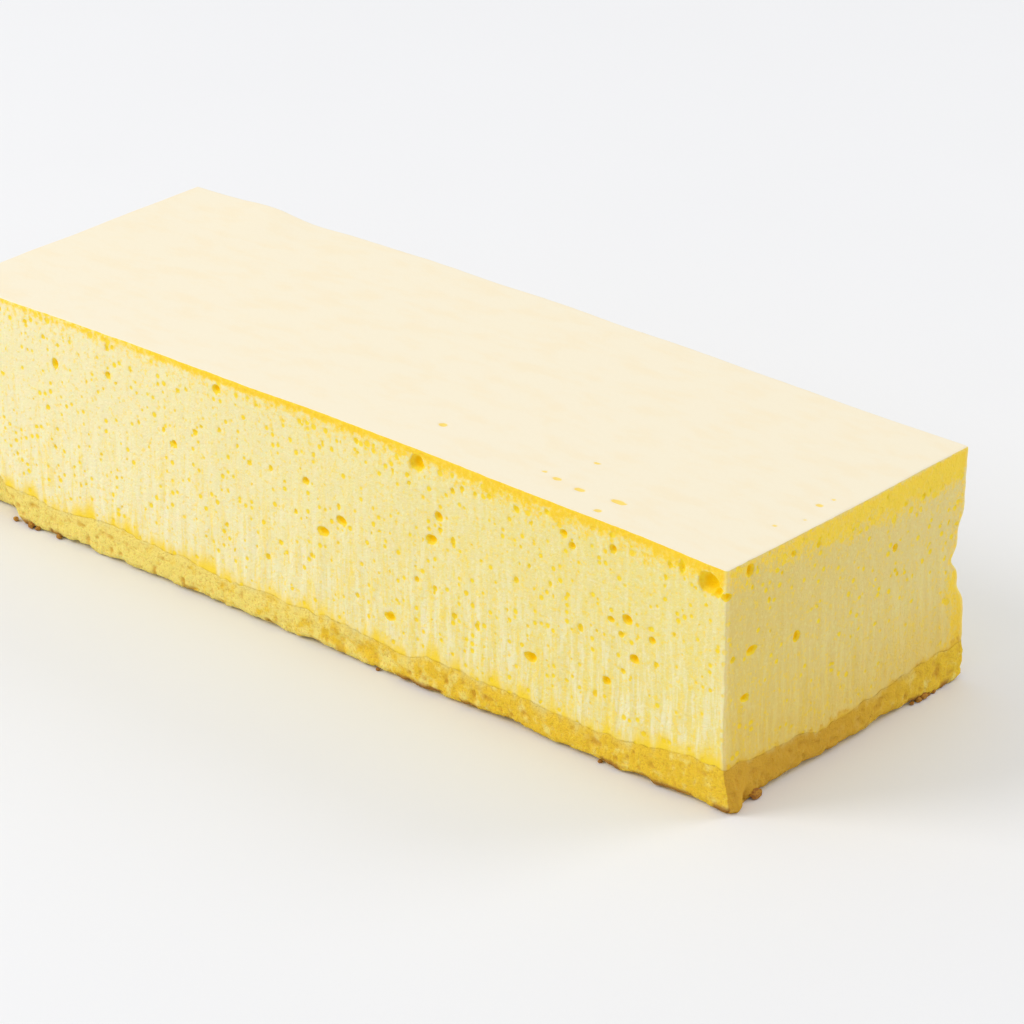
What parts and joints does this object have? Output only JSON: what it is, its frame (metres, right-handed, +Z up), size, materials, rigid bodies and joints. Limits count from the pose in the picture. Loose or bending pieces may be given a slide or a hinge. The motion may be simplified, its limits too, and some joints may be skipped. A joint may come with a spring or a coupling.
{
  "type": "cheesecake",
  "caption": "Straight-cut bar of pale aerated cheesecake on a thin golden sponge base, with air holes and ragged crumb edges on its cut faces.",
  "frame": {"origin": "middle of the underside, on the surface that the cake stands on", "axes": "+X along the bar towards the cut end with the torn corner, -Y towards the long front face, +Z up"},
  "size_m": [0.1892, 0.0664, 0.0462],
  "materials": {
    "cheese": "soft satin, finely aerated cream",
    "sponge": "matt open crumb"
  },
  "bodies": {
    "root": {"cheese_body": "cheese", "sponge_base": "sponge"}
  },
  "joints": []
}
